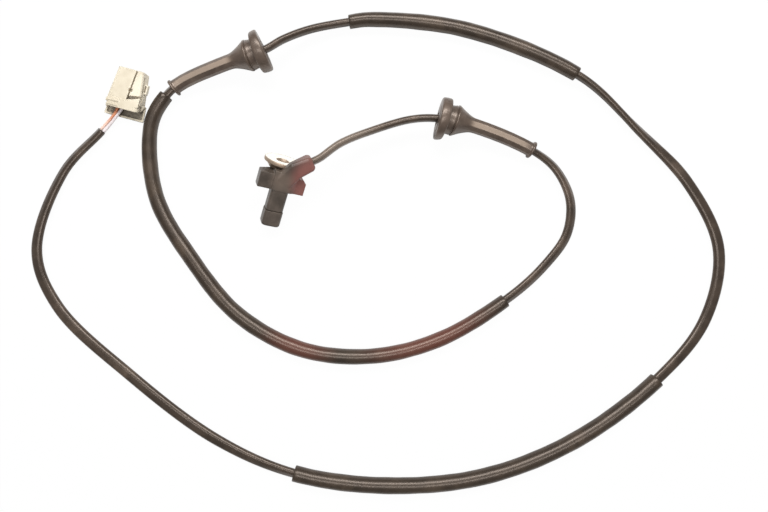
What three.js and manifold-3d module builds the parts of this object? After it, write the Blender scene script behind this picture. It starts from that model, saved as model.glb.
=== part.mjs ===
// A wheel speed sensor for a car: the moulded head, its cable with two rubber grommets and three
// lengths of sleeving, and the two-way connector. Millimetres, +Z up. The origin is under the middle
// of the head, on the bench that everything lies on, and the probe points along -Y.
import * as THREE from "three";
import { mergeVertices } from "three/addons/utils/BufferGeometryUtils.js";
import Module from "manifold-3d";

const wasm = await Module();
wasm.setup();

// Clearances
const FIT = 0.3; // between parts that sit in or on each other
const GRIP_ROOM = 0.6; // between the cable and a grommet's bore
const OVERCUT = 2; // how far a cutter runs past the face that it opens

// Probe and its cap
const PROBE_WIDTH = 11.6;
const PROBE_HEIGHT = 10;
const PROBE_REACH = 30.8; // from the flange's middle plane to the tip
const PROBE_CORNER = 2.4;
const CAP_LENGTH = 11;
const CAP_PROUD = 0.35; // how far the cap stands out all round
const CAP_WALL = 1.3;
const CAP_EDGE = 1.6; // how far back the tip's edge is rounded
const POCKET_WIDTH = 7.6;
const POCKET_HEIGHT = 5.4;
const POCKET_END = 4.4; // where the pocket ends, in front of the flange's middle plane

// Flange, wings, hub and bolt lug
const FLANGE_THICKNESS = 10.6;
const WING_SPAN = 30.8;
const WING_TOP = 3.9; // above the probe's axis
const WING_HEIGHT = 8.3;
const WING_CHAMFER = 2.4;
const HUB_WIDTH = 12.4;
const HUB_SLOPE = 3.2; // the sloped flank beside the hub, on the cable's side
const HUB_BACK = 7.8; // behind the flange's middle plane
const HUB_RISE = 0.3; // above the probe's top face
const BOLT_DROP = 10.4; // from the probe's axis down to the bolt's axis
const BOLT_OFFSET = -0.4;
const LUG_WALL = 1;

// Flanged bush
const BUSH_BORE = 8.2;
const BUSH_WALL = 1;
const BUSH_COLLAR = 24.2;
const BUSH_RIM = 2.8; // thickness of the collar's rim
const BUSH_BACK = 12; // the collar's face, behind the flange's middle plane
const BUSH_SEAT_WIDTH = 2.6; // width of the ring that bears on the lug
const BUSH_LIP = 0.5; // height of the bead round the collar's face

// Neck
const NECK_WIDTH = 11.8;
const NECK_HEIGHT = 6.8;
const NECK_END_HEIGHT = 9.6;
const NECK_END_WIDTH = 10;
const NECK_CORNER = 2;
const NECK_BEND = [5.6, 11.2, 4.6]; // middle of the neck where it turns down
const NECK_END = [15.1, 19.1, 3.4]; // middle of the neck's end face
const NECK_ROUND = 2.2; // how far back the edge of the end face is rounded
const SOCKET_DEPTH = 7;
const HEAD_ROLL = THREE.MathUtils.degToRad(26); // the left wing is up

// Cable, its cores and the sensing element
const CABLE_DIAMETER = 6;
const CABLE_STEPS = 80;
const CABLE_SIDES = 10;
const BEND_WEIGHT = 80; // how much a bend shortens the steps along a curve, in mm per radian
const PACE_MARKS = 1200;
const CORE_DIAMETER = 1.2;
const CORE_PITCH = 2.8;
const CRIMP_WALL = 0.35;
const CRIMP_LENGTH = 4;
const CARRIER_LENGTH = 17;
const CARRIER_FLOOR = 1.4;
const CARRIER_RAIL = 0.4;
const CHIP_SIZE = [3.8, 4, 1.4];
const MAGNET_SIZE = [3.8, 5, 2.6];
const LEAD_WIDTH = 0.7;
const LEAD_THICKNESS = 0.5;

// Grommets, measured along the cable from the flange's face
const GROMMET_FLANGE = 27.6;
const GROMMET_FLANGE_LENGTH = 4.4;
const GROMMET_LIP = 1.6; // how far the flange's lip curls back over the groove
const GROMMET_NECK = 19;
const GROMMET_GROOVE = 5.8; // length of the panel groove
const GROMMET_RIB = 20.4;
const GROMMET_CONE = 11;
const GROMMET_TAIL = 9.8;
const GROMMET_TAIL_LENGTH = 42;
const GROMMET_TAIL_END = 9.4;
const GROMMET_COLLAR = 11.8;
const GROMMET_COLLAR_LENGTH = 1.6;
const GROMMET_SIDES = 28;
const GROMMET_SKEW = [9, 0]; // degrees that the inner and outer grommets' flanges stand askew

// Sleeving
const SLEEVE_DIAMETER = 10.4;
const SLEEVE_WALL = 1;
const SLEEVE_SIDES = 12;

// Where the things on the cable lie, as distances along it from the neck's end face
const GROMMET_INNER_FACE = 90;
const GROMMET_OUTER_FACE = 725;
const SLEEVE_INNER_ENDS = [285, 649];
const SLEEVE_UPPER_ENDS = [784, 947];
const SLEEVE_LOWER_ENDS = [1200, 1463];

// Connector housing, from its rear edge along its own +Y to the mating face
const HOUSING_LENGTH = 27.2;
const HOUSING_FRONT_WIDTH = 17.4;
const HOUSING_REAR_WIDTH = 23;
const HOUSING_HEIGHT = 10.4;
const HOUSING_CORNER = 1.6;
const HOOD_LENGTH = 6;
const HOOD_WIDTH = 27.2;
const ROOF_WIDTH = 23.2; // the hood's upper part is narrower
const HOOD_SHOULDER = 6.4; // height of its wider lower part
const HOOD_WALL = 1.3;
const HOOD_RISE = 0.6; // how far the hood's roof stands above the housing
const HOOD_APRON = 4.4; // how far the hood's floor runs back past its roof
const HOOD_APRON_HEIGHT = 3.3;
const HOOD_LIP_FORWARD = 10.8; // how far forward the roof's edge runs on the tongue's side
const RIDGE_WIDTH = 0.8;
const RIDGE_HEIGHT = 0.5;
const RIDGE_LENGTH = 7.4;
const RIDGE_PITCH = 2.8;
const EAR_LENGTH = 6.4; // the guard beside the tongue
const EAR_START = 13.8;
const EAR_REACH = 2.6;
const EAR_SLOT = 1;

// Latch tongue, cut free from the housing's top
const TONGUE_THICKNESS = 2.2;
const TONGUE_GAP = 1.5;
const TONGUE_SLOT = 0.9;
const TONGUE_LEFT_FRONT = 3.9; // the slot beside the tongue, at the mating face
const TONGUE_LEFT_REAR = 1.7; // the slot where it ends
const TONGUE_ROOT = 3; // length of the tongue's root behind the mating face
const TONGUE_END = 9.6; // the tongue's free end, from the rear edge
const TONGUE_NOTCH = 1.8;
const TONGUE_NOTCH_PLACE = 12.7;

// Terminals, their channels, the lock and the two wires
const WIRE_DIAMETER = 1.9;
const WIRE_ENTRY = [-2.6, -1.6]; // where the pair of wires passes under the roof
const TERMINAL_WALL = 0.3;
const TERMINAL_PITCH = 4.4;
const TERMINAL_OFFSET = -3;
const TERMINAL_HEIGHT = 5; // of the terminals' middle over the bench
const TERMINAL_BOX = 9; // length of the terminal's box
const TERMINAL_BARREL = 8; // length of the crimp barrel behind it
const CHANNEL_WALL = 1.6; // in front of the terminals
const ENTRY_WIDTH = 1.8; // of the window that the mating pin enters by
const LOCK_WIDTH = 8;
const LOCK_LENGTH = 3.4;
const LOCK_PLACE = 11;
const CONNECTOR_TURN = THREE.MathUtils.degToRad(5.5);
const CONNECTOR_PLACE = [-118.7, 12.6];

// Heights of the cable's middle over the bench: lying on it, lying in a sleeve, and at a grommet's
// flange and collar, which hold it up
const DIP_ROOM = 0.2; // for the smooth curve's dip between two points
const BARE = CABLE_DIAMETER / 2 + DIP_ROOM;
const SLEEVED = SLEEVE_DIAMETER / 2 + DIP_ROOM;
const AT_FLANGE = GROMMET_FLANGE / 2 + 2.5 * DIP_ROOM;
const AT_COLLAR = GROMMET_COLLAR / 2 + DIP_ROOM;

// The cable's route over the bench, from the end of the neck to the cut end of the jacket
const ROUTE = [
  [17.7, 27, 19.1],
  [26.7, 41.1, 16.8],
  [42.3, 57.3, 14.4],
  [63.8, 72.8, 14],
  [80.3, 79.1, AT_FLANGE],
  [101.8, 83.6, 11.3],
  [144.8, 83.6, AT_COLLAR],
  [165.8, 78.1, BARE],
  [183.3, 61.6, BARE],
  [189.3, 39.6, BARE],
  [183.8, 17.1, BARE],
  [169.3, -11.4, SLEEVED],
  [134.8, -55.9, SLEEVED],
  [95.3, -83.4, SLEEVED],
  [48.8, -95.9, SLEEVED],
  [0.8, -88.9, SLEEVED],
  [-41.2, -64.9, SLEEVED],
  [-78.2, -33.9, SLEEVED],
  [-98.2, 10.1, SLEEVED],
  [-95.7, 31.1, SLEEVED],
  [-89.2, 42.6, AT_COLLAR],
  [-66.2, 63.1, 10.4],
  [-41.7, 81.6, AT_FLANGE],
  [-33.2, 92.6, 12.8],
  [-19.7, 106.6, 8.2],
  [1.8, 120.9, SLEEVED],
  [14.8, 127.6, SLEEVED],
  [76.8, 143.6, SLEEVED],
  [160.3, 141.1, SLEEVED],
  [209.8, 121.6, BARE],
  [253.8, 100.1, BARE],
  [288.8, 65.6, BARE],
  [296.8, 17.6, BARE],
  [279.8, -30.9, SLEEVED],
  [242.3, -88.9, SLEEVED],
  [194.3, -132.4, SLEEVED],
  [136.3, -160.9, SLEEVED],
  [74.3, -175.4, SLEEVED],
  [16.8, -173.4, BARE],
  [-53.7, -152.9, BARE],
  [-115.7, -126.4, BARE],
  [-141.7, -96.4, BARE],
  [-143.2, -40.9, BARE],
  [-128.7, -5.4, BARE],
];

// Materials
const finish = (color, roughness, metalness = 0) =>
  new THREE.MeshStandardMaterial({ color, roughness, metalness });
const BLACK_PLASTIC = finish(0x4f4843, 0.55);
const CAP_PLASTIC = finish(0x4a4340, 0.5);
const BUSH_METAL = finish(0xe8dfcf, 0.35, 0.8);
const JACKET = finish(0x4b423c, 0.45);
const RUBBER = finish(0x574d47, 0.6);
const SLEEVING = finish(0x5c514a, 0.5);
const PALE_PLASTIC = finish(0xe9dfcd, 0.5);
const LOCK_PLASTIC = finish(0xd8cdb8, 0.5);
const TINNED = finish(0xc9c4b8, 0.3, 1);
const COPPER = finish(0xc98a55, 0.35, 1);
const MAGNET = finish(0x6d6c6a, 0.4, 0.7);
const EPOXY = finish(0x26252a, 0.4);
const CARRIER = finish(0x8d8577, 0.6);
const ORANGE = finish(0xd5875a, 0.5);
const PALE = finish(0xdcd2d6, 0.5);

// Solids: closed meshes that manifold-3d joins and cuts

function solid(geometry) {
  const bare = geometry.clone();
  bare.deleteAttribute("normal");
  bare.deleteAttribute("uv");
  const merged = mergeVertices(bare, 1e-5);
  return new wasm.Manifold(
    new wasm.Mesh({
      numProp: 3,
      vertProperties: new Float32Array(merged.attributes.position.array),
      triVerts: new Uint32Array(merged.index.array),
    }),
  );
}

function geometryOf(manifold) {
  const mesh = manifold.getMesh();
  const geometry = new THREE.BufferGeometry();
  geometry.setAttribute("position", new THREE.BufferAttribute(new Float32Array(mesh.vertProperties), 3));
  geometry.setIndex(new THREE.BufferAttribute(new Uint32Array(mesh.triVerts), 1));
  geometry.computeVertexNormals();
  return geometry;
}

function joined(...geometries) {
  return geometries.map(solid).reduce((whole, piece) => whole.add(piece));
}

function carved(whole, ...cutters) {
  return cutters.map(solid).reduce((rest, cutter) => rest.subtract(cutter), whole);
}

// Forms

function box(low, high) {
  const size = high.map((v, i) => v - low[i]);
  return new THREE.BoxGeometry(...size).translate(...low.map((v, i) => v + size[i] / 2));
}

// A ring of points round a rectangle with rounded corners, in the x and y of its plane
function roundedRing(width, height, corner, perCorner = 4) {
  const radius = Math.min(corner, width / 2.01, height / 2.01);
  const ring = [];
  for (let quarter = 0; quarter < 4; quarter++) {
    const cx = (quarter === 0 || quarter === 3 ? 1 : -1) * (width / 2 - radius);
    const cy = (quarter < 2 ? 1 : -1) * (height / 2 - radius);
    for (let i = 0; i <= perCorner; i++) {
      const angle = ((quarter + i / perCorner) * Math.PI) / 2;
      ring.push(new THREE.Vector2(cx + radius * Math.cos(angle), cy + radius * Math.sin(angle)));
    }
  }
  return ring;
}

// A closed skin through rings of equally many points, with flat ends
function loft(rings) {
  const count = rings[0].length;
  const points = rings.flat();
  const faces = [];
  for (let r = 0; r + 1 < rings.length; r++) {
    for (let i = 0; i < count; i++) {
      const a = r * count + i;
      const b = r * count + ((i + 1) % count);
      faces.push(a, b, b + count, a, b + count, a + count);
    }
  }
  const last = (rings.length - 1) * count;
  for (let i = 1; i + 1 < count; i++) {
    faces.push(0, i + 1, i);
    faces.push(last, last + i, last + i + 1);
  }
  const geometry = new THREE.BufferGeometry().setFromPoints(points);
  geometry.setIndex(volume(points, faces) < 0 ? faces.reverse() : faces);
  geometry.computeVertexNormals();
  return geometry;
}

function volume(points, faces) {
  let sum = 0;
  for (let i = 0; i < faces.length; i += 3) {
    const [a, b, c] = [points[faces[i]], points[faces[i + 1]], points[faces[i + 2]]];
    sum += a.dot(new THREE.Vector3().crossVectors(b, c));
  }
  return sum / 6;
}

// A rounded rectangle's ring stood across +Y, with its middle at a point
function ringAcross(y, width, height, corner, x = 0, z = 0) {
  return roundedRing(width, height, corner).map((p) => new THREE.Vector3(x + p.x, y, z + p.y));
}

// A flat outline in x and z, thickened from one y to another
function slabAlongY(shape, from, to, curveSegments = 12) {
  const geometry = new THREE.ExtrudeGeometry(shape, { depth: to - from, bevelEnabled: false, curveSegments });
  return geometry.rotateX(Math.PI / 2).translate(0, to, 0);
}

function outline(points) {
  return new THREE.Shape(points.map(([x, y]) => new THREE.Vector2(x, y)));
}

// A cylinder between two points
function rod(from, to, diameter, sides = 24) {
  const start = new THREE.Vector3(...from);
  const axis = new THREE.Vector3(...to).sub(start);
  const geometry = new THREE.CylinderGeometry(diameter / 2, diameter / 2, axis.length(), sides);
  geometry.applyQuaternion(
    new THREE.Quaternion().setFromUnitVectors(new THREE.Vector3(0, 1, 0), axis.clone().normalize()),
  );
  return geometry.translate(...start.addScaledVector(axis, 0.5).toArray());
}

// A profile of [distance along the axis, radius] turned about +Y
function turned(profile, sides = 40) {
  return new THREE.LatheGeometry(
    profile.map(([along, radius]) => new THREE.Vector2(radius, along)),
    sides,
  );
}

// Part of a curve between two distances along it, lifted or laid at a height of its own
class Stretch extends THREE.Curve {
  constructor(whole, from, to, height = null) {
    super();
    this.whole = whole;
    this.long = whole.getLength();
    this.from = from;
    this.to = to;
    this.height = height;
  }
  getPoint(t, target = new THREE.Vector3()) {
    const along = THREE.MathUtils.lerp(this.from, this.to, t) / this.long;
    this.whole.getPointAt(THREE.MathUtils.clamp(along, 0, 1), target);
    if (this.height !== null) target.z = this.height;
    return target;
  }
}

// A curve that runs level beside another
class Beside extends THREE.Curve {
  constructor(whole, offset) {
    super();
    this.whole = whole;
    this.offset = offset;
  }
  getPoint(t, target = new THREE.Vector3()) {
    const along = this.whole.getTangentAt(t);
    const side = new THREE.Vector3(along.y, -along.x, 0).normalize();
    return this.whole.getPointAt(t, target).addScaledVector(side, this.offset);
  }
}

// A curve walked in steps that shorten where it bends, so that straight sides follow it closely
class Paced extends THREE.Curve {
  constructor(whole) {
    super();
    this.whole = whole;
    this.marks = [0];
    const stretch = whole.getLength() / PACE_MARKS;
    let before = whole.getTangentAt(0);
    for (let i = 1; i <= PACE_MARKS; i++) {
      const now = whole.getTangentAt(i / PACE_MARKS);
      this.marks.push(this.marks[i - 1] + stretch + BEND_WEIGHT * before.angleTo(now));
      before = now;
    }
  }
  share(u) {
    const aim = u * this.marks[PACE_MARKS];
    const i = Math.max(1, this.marks.findIndex((mark) => mark >= aim));
    const past = (aim - this.marks[i - 1]) / (this.marks[i] - this.marks[i - 1]);
    return Math.min(1, (i - 1 + past) / PACE_MARKS);
  }
  getPoint(t, target = new THREE.Vector3()) {
    return this.whole.getPointAt(this.share(t), target);
  }
  getPointAt(u, target = new THREE.Vector3()) {
    return this.getPoint(u, target);
  }
  getTangentAt(u, target = new THREE.Vector3()) {
    return this.whole.getTangentAt(this.share(u), target);
  }
}

function tube(curve, radius, sides, steps, bore = 0) {
  const section = new THREE.Shape().absarc(0, 0, radius, 0, 2 * Math.PI);
  if (bore > 0) section.holes.push(new THREE.Path().absarc(0, 0, bore, 0, 2 * Math.PI, true));
  return new THREE.ExtrudeGeometry(section, {
    steps,
    curveSegments: sides / 2,
    extrudePath: curve,
  });
}

// The scene graph

const part = new THREE.Group();
const head = new THREE.Group();
const harness = new THREE.Group();
const connector = new THREE.Group();
part.add(head, harness, connector);

function place(parent, name, form, material) {
  const mesh = new THREE.Mesh(form.isBufferGeometry ? form : geometryOf(form), material);
  mesh.name = name;
  parent.add(mesh);
  return mesh;
}

// Head, in its own frame: the probe's axis along Y, the flange's middle plane at y = 0

const flangeFront = -FLANGE_THICKNESS / 2;
const flangeBack = FLANGE_THICKNESS / 2;
const probeTop = PROBE_HEIGHT / 2;
const capShoulder = CAP_LENGTH - PROBE_REACH;
const capInside = CAP_WALL - PROBE_REACH;
const bushOuter = BUSH_BORE / 2 + BUSH_WALL;
const lugRadius = bushOuter + FIT + LUG_WALL;
const neckBend = new THREE.Vector3(...NECK_BEND);
const neckEnd = new THREE.Vector3(...NECK_END);
const neckRun = neckEnd.clone().sub(neckBend).normalize();
const socketEnd = neckEnd.clone().addScaledVector(neckRun, -SOCKET_DEPTH);

function flangePlate() {
  const half = WING_SPAN / 2;
  const wingFoot = WING_TOP - WING_HEIGHT;
  const shape = new THREE.Shape()
    .moveTo(-half, wingFoot)
    .lineTo(-half, WING_TOP)
    .lineTo(half, WING_TOP)
    .lineTo(half, wingFoot)
    .lineTo(BOLT_OFFSET + lugRadius, -BOLT_DROP)
    .absarc(BOLT_OFFSET, -BOLT_DROP, lugRadius, 0, -Math.PI, true);
  return slabAlongY(shape, flangeFront, flangeBack);
}

function wingChamfer() {
  const edge = WING_SPAN / 2;
  const cut = outline([
    [edge - WING_CHAMFER, flangeBack],
    [edge + OVERCUT, flangeBack + OVERCUT],
    [edge + OVERCUT, flangeBack - WING_CHAMFER - OVERCUT],
  ]);
  const tall = new THREE.ExtrudeGeometry(cut, { depth: 2 * BOLT_DROP, bevelEnabled: false });
  return tall.translate(0, 0, -BOLT_DROP);
}

function hub() {
  const half = HUB_WIDTH / 2;
  const top = probeTop + HUB_RISE;
  const foot = WING_TOP - WING_HEIGHT;
  const shape = outline([
    [-half, foot],
    [half + HUB_SLOPE, foot],
    [half + HUB_SLOPE, WING_TOP],
    [half, top],
    [-half, top],
  ]);
  return slabAlongY(shape, flangeFront, HUB_BACK);
}

function probe() {
  return loft([
    ringAcross(flangeFront + 1, PROBE_WIDTH, PROBE_HEIGHT, PROBE_CORNER),
    ringAcross(capShoulder + FIT, PROBE_WIDTH, PROBE_HEIGHT, PROBE_CORNER),
  ]);
}

const capWidth = PROBE_WIDTH + 2 * CAP_PROUD;
const capHeight = PROBE_HEIGHT + 2 * CAP_PROUD;

function spigot() {
  const width = capWidth - 2 * (CAP_WALL + FIT);
  const height = capHeight - 2 * (CAP_WALL + FIT);
  return loft([
    ringAcross(capShoulder + 1, width, height, PROBE_CORNER / 2),
    ringAcross(capInside + FIT, width, height, PROBE_CORNER / 2),
  ]);
}

// A ring across the neck, square to a level direction, with its middle at a point
function neckRing(middle, toward, width, height) {
  const side = new THREE.Vector3(toward.y, -toward.x, 0).normalize();
  return roundedRing(width, height, NECK_CORNER).map((p) =>
    middle.clone().addScaledVector(side, p.x).add(new THREE.Vector3(0, 0, p.y)),
  );
}

function neck() {
  const root = new THREE.Vector3(0, 0, probeTop + HUB_RISE - NECK_HEIGHT / 2);
  const first = neckBend.clone().sub(root);
  const before = (back) => neckEnd.clone().addScaledVector(neckRun, -back);
  return loft([
    neckRing(root, first, HUB_WIDTH, NECK_HEIGHT),
    neckRing(neckBend, neckEnd.clone().sub(root), NECK_WIDTH, NECK_HEIGHT),
    neckRing(before(NECK_ROUND), neckRun, NECK_END_WIDTH, NECK_END_HEIGHT),
    neckRing(before(NECK_ROUND / 3), neckRun, NECK_END_WIDTH - NECK_ROUND / 2, NECK_END_HEIGHT - NECK_ROUND / 2),
    neckRing(neckEnd, neckRun, NECK_END_WIDTH - 1.2 * NECK_ROUND, NECK_END_HEIGHT - 1.2 * NECK_ROUND),
  ]);
}

const pocketFloor = -POCKET_HEIGHT / 2;
const coreWay = new THREE.CatmullRomCurve3([
  new THREE.Vector3(0, -POCKET_END - 1.5, 0),
  new THREE.Vector3(0.4, -1, 0.3),
  new THREE.Vector3(3.2, 5, 2.4),
  socketEnd.clone().addScaledVector(neckRun, -1.5),
  socketEnd.clone().addScaledVector(neckRun, -FIT),
]);

function pocket() {
  const half = POCKET_WIDTH / 2;
  return box([-half, -PROBE_REACH - OVERCUT, pocketFloor], [half, -POCKET_END, -pocketFloor]);
}

function coreChannel() {
  const reach = new THREE.CatmullRomCurve3([
    new THREE.Vector3(0, -POCKET_END - 1, 0),
    ...coreWay.points.slice(1, -1),
    socketEnd.clone().addScaledVector(neckRun, 0.5),
  ]);
  return tube(reach, (CORE_PITCH + CORE_DIAMETER) / 2 + FIT, 16, 14);
}

function cableSocket() {
  const out = neckEnd.clone().addScaledVector(neckRun, OVERCUT);
  return rod(socketEnd.toArray(), out.toArray(), CABLE_DIAMETER + 2 * FIT, 24);
}

function bushHole() {
  return rod(
    [BOLT_OFFSET, flangeFront - OVERCUT, -BOLT_DROP],
    [BOLT_OFFSET, flangeBack + OVERCUT, -BOLT_DROP],
    2 * (bushOuter + FIT),
    32,
  );
}

// Room in the hub for the bush's conical underside
function bushRelief() {
  const foot = bushOuter + BUSH_SEAT_WIDTH + FIT;
  return turned([
    [flangeBack, 0],
    [flangeBack, foot],
    [BUSH_BACK - BUSH_RIM - FIT, BUSH_COLLAR / 2 + FIT],
    [BUSH_BACK + FIT, BUSH_COLLAR / 2 + FIT],
    [BUSH_BACK + FIT, 0],
    [flangeBack, 0],
  ]).translate(BOLT_OFFSET, 0, -BOLT_DROP);
}

place(
  head,
  "sensor_body",
  carved(
    joined(flangePlate(), hub(), probe(), spigot(), neck()),
    pocket(),
    coreChannel(),
    cableSocket(),
    bushHole(),
    bushRelief(),
    wingChamfer(),
  ),
  BLACK_PLASTIC,
);

function probeCap() {
  const tip = -PROBE_REACH;
  const shell = loft([
    ringAcross(capShoulder, capWidth, capHeight, PROBE_CORNER),
    ringAcross(tip + CAP_EDGE, capWidth, capHeight, PROBE_CORNER),
    ringAcross(tip + CAP_EDGE / 3, capWidth - CAP_EDGE / 2, capHeight - CAP_EDGE / 2, PROBE_CORNER),
    ringAcross(tip, capWidth - 2 * CAP_EDGE, capHeight - 2 * CAP_EDGE, PROBE_CORNER),
  ]);
  const inside = loft([
    ringAcross(capShoulder + OVERCUT, capWidth - 2 * CAP_WALL, capHeight - 2 * CAP_WALL, PROBE_CORNER / 2),
    ringAcross(capInside, capWidth - 2 * CAP_WALL, capHeight - 2 * CAP_WALL, PROBE_CORNER / 2),
  ]);
  return carved(solid(shell), inside);
}

place(head, "probe_cap", probeCap(), CAP_PLASTIC);

function bush() {
  const bore = BUSH_BORE / 2;
  const rim = BUSH_COLLAR / 2;
  const seat = flangeBack + FIT;
  const under = BUSH_BACK - BUSH_RIM;
  const bead = BUSH_LIP * 2;
  return turned([
    [flangeFront, bore],
    [flangeFront, bushOuter],
    [seat, bushOuter],
    [seat, bushOuter + BUSH_SEAT_WIDTH],
    [under, rim - 1.6],
    [under, rim - BUSH_LIP],
    [under + BUSH_LIP, rim],
    [BUSH_BACK - BUSH_LIP, rim],
    [BUSH_BACK, rim - BUSH_LIP],
    [BUSH_BACK, rim - bead],
    [BUSH_BACK - BUSH_LIP, rim - 2 * bead],
    [BUSH_BACK - BUSH_LIP, bore + 1.5 * BUSH_LIP],
    [BUSH_BACK - 2 * BUSH_LIP, bore],
    [flangeFront, bore],
  ]).translate(BOLT_OFFSET, 0, -BOLT_DROP);
}

place(head, "mounting_bush", bush(), BUSH_METAL);

// The sensing element in the probe, on its carrier

const carrierFront = capInside + FIT;
const carrierTop = pocketFloor + FIT + CARRIER_FLOOR;
const chipBack = carrierFront + CARRIER_RAIL + FIT + CHIP_SIZE[1];
const magnetBack = chipBack + FIT + MAGNET_SIZE[1];
const crimpRadius = CORE_DIAMETER / 2 + FIT + CRIMP_WALL;
const crimpFront = carrierFront + CARRIER_LENGTH + FIT;

function carrier() {
  const half = POCKET_WIDTH / 2 - FIT;
  const bottom = pocketFloor + FIT;
  const back = carrierFront + CARRIER_LENGTH;
  const rails = [-1, 1].map((side) => {
    const edge = side * half;
    const inner = side * (half - CARRIER_RAIL);
    return box([Math.min(edge, inner), carrierFront, bottom], [Math.max(edge, inner), back, carrierTop + 1]);
  });
  const stop = box([-half, carrierFront, bottom], [half, carrierFront + CARRIER_RAIL, carrierTop + 1]);
  return joined(box([-half, carrierFront, bottom], [half, back, carrierTop]), ...rails, stop);
}

function onCarrier(size, back) {
  return box(
    [-size[0] / 2, back - size[1], carrierTop + FIT],
    [size[0] / 2, back, carrierTop + FIT + size[2]],
  );
}

place(head, "chip_carrier", carrier(), CARRIER);
place(head, "sensing_chip", onCarrier(CHIP_SIZE, chipBack), EPOXY);
place(head, "bias_magnet", onCarrier(MAGNET_SIZE, magnetBack), MAGNET);

function crimp(x) {
  const outer = rod([x, crimpFront, 0], [x, crimpFront + CRIMP_LENGTH, 0], 2 * crimpRadius, 16);
  const inner = rod(
    [x, crimpFront + 1, 0],
    [x, crimpFront + CRIMP_LENGTH + OVERCUT, 0],
    CORE_DIAMETER + 2 * FIT,
    16,
  );
  return carved(solid(outer), inner);
}

for (const [side, name] of [[-1, "left"], [1, "right"]]) {
  const leadMiddle = side * (MAGNET_SIZE[0] / 2 + FIT + LEAD_WIDTH / 2);
  const lead = box(
    [leadMiddle - LEAD_WIDTH / 2, chipBack + FIT, carrierTop + FIT],
    [leadMiddle + LEAD_WIDTH / 2, crimpFront - FIT, carrierTop + FIT + LEAD_THICKNESS],
  );
  place(head, `lead_${name}`, lead, TINNED);
  const x = (side * CORE_PITCH) / 2;
  place(head, `crimp_${name}`, crimp(x), COPPER);
  const straight = new THREE.CatmullRomCurve3([
    new THREE.Vector3(0, crimpFront + 1 + FIT, 0),
    ...coreWay.points,
  ]);
  place(
    head,
    `core_${name}`,
    tube(new Beside(straight, x), CORE_DIAMETER / 2, 8, 16),
    side < 0 ? ORANGE : PALE,
  );
}

// The head lies rolled to one side, on the probe's tip and on its lug or bush
function tipAboveBack(lean) {
  head.rotation.set(lean, HEAD_ROLL, 0);
  head.updateMatrixWorld(true);
  const lowest = (name) => new THREE.Box3().setFromObject(head.getObjectByName(name), true).min.z;
  return lowest("probe_cap") - Math.min(lowest("sensor_body"), lowest("mounting_bush"));
}

let leanRange = [0, Math.PI / 3];
while (leanRange[1] - leanRange[0] > 1e-4) {
  const half = (leanRange[0] + leanRange[1]) / 2;
  leanRange = tipAboveBack(half) > 0 ? [half, leanRange[1]] : [leanRange[0], half];
}
head.rotation.set(leanRange[0], HEAD_ROLL, 0);
head.updateMatrixWorld(true);
const leaning = new THREE.Box3().setFromObject(head, true);
const middle = leaning.getCenter(new THREE.Vector3());
head.position.set(-middle.x, -middle.y, -leaning.min.z);
head.updateMatrixWorld(true);

// Harness: the cable and what is on it

const exit = neckEnd.clone().applyMatrix4(head.matrixWorld);
const cableStart = socketEnd.clone().addScaledVector(neckRun, FIT).applyMatrix4(head.matrixWorld);
const route = new THREE.CatmullRomCurve3([
  cableStart,
  exit,
  ...ROUTE.map((p) => new THREE.Vector3(...p)),
]);
route.arcLengthDivisions = 2000;
const paced = new Paced(route);
place(harness, "cable", tube(paced, CABLE_DIAMETER / 2, CABLE_SIDES, CABLE_STEPS), JACKET);

// A sleeve lies on the bench and follows the cable between two distances along it
function sleeve(name, [from, to]) {
  const lying = new Stretch(route, from + SOCKET_DEPTH, to + SOCKET_DEPTH, SLEEVED);
  const steps = Math.round((to - from) / (1.6 * SLEEVE_DIAMETER));
  const bore = SLEEVE_DIAMETER / 2 - SLEEVE_WALL;
  const form = tube(new Paced(lying), SLEEVE_DIAMETER / 2, SLEEVE_SIDES, steps, bore);
  place(harness, name, form, SLEEVING);
}

sleeve("sleeve_inner", SLEEVE_INNER_ENDS);
sleeve("sleeve_upper", SLEEVE_UPPER_ENDS);
sleeve("sleeve_lower", SLEEVE_LOWER_ENDS);

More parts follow.
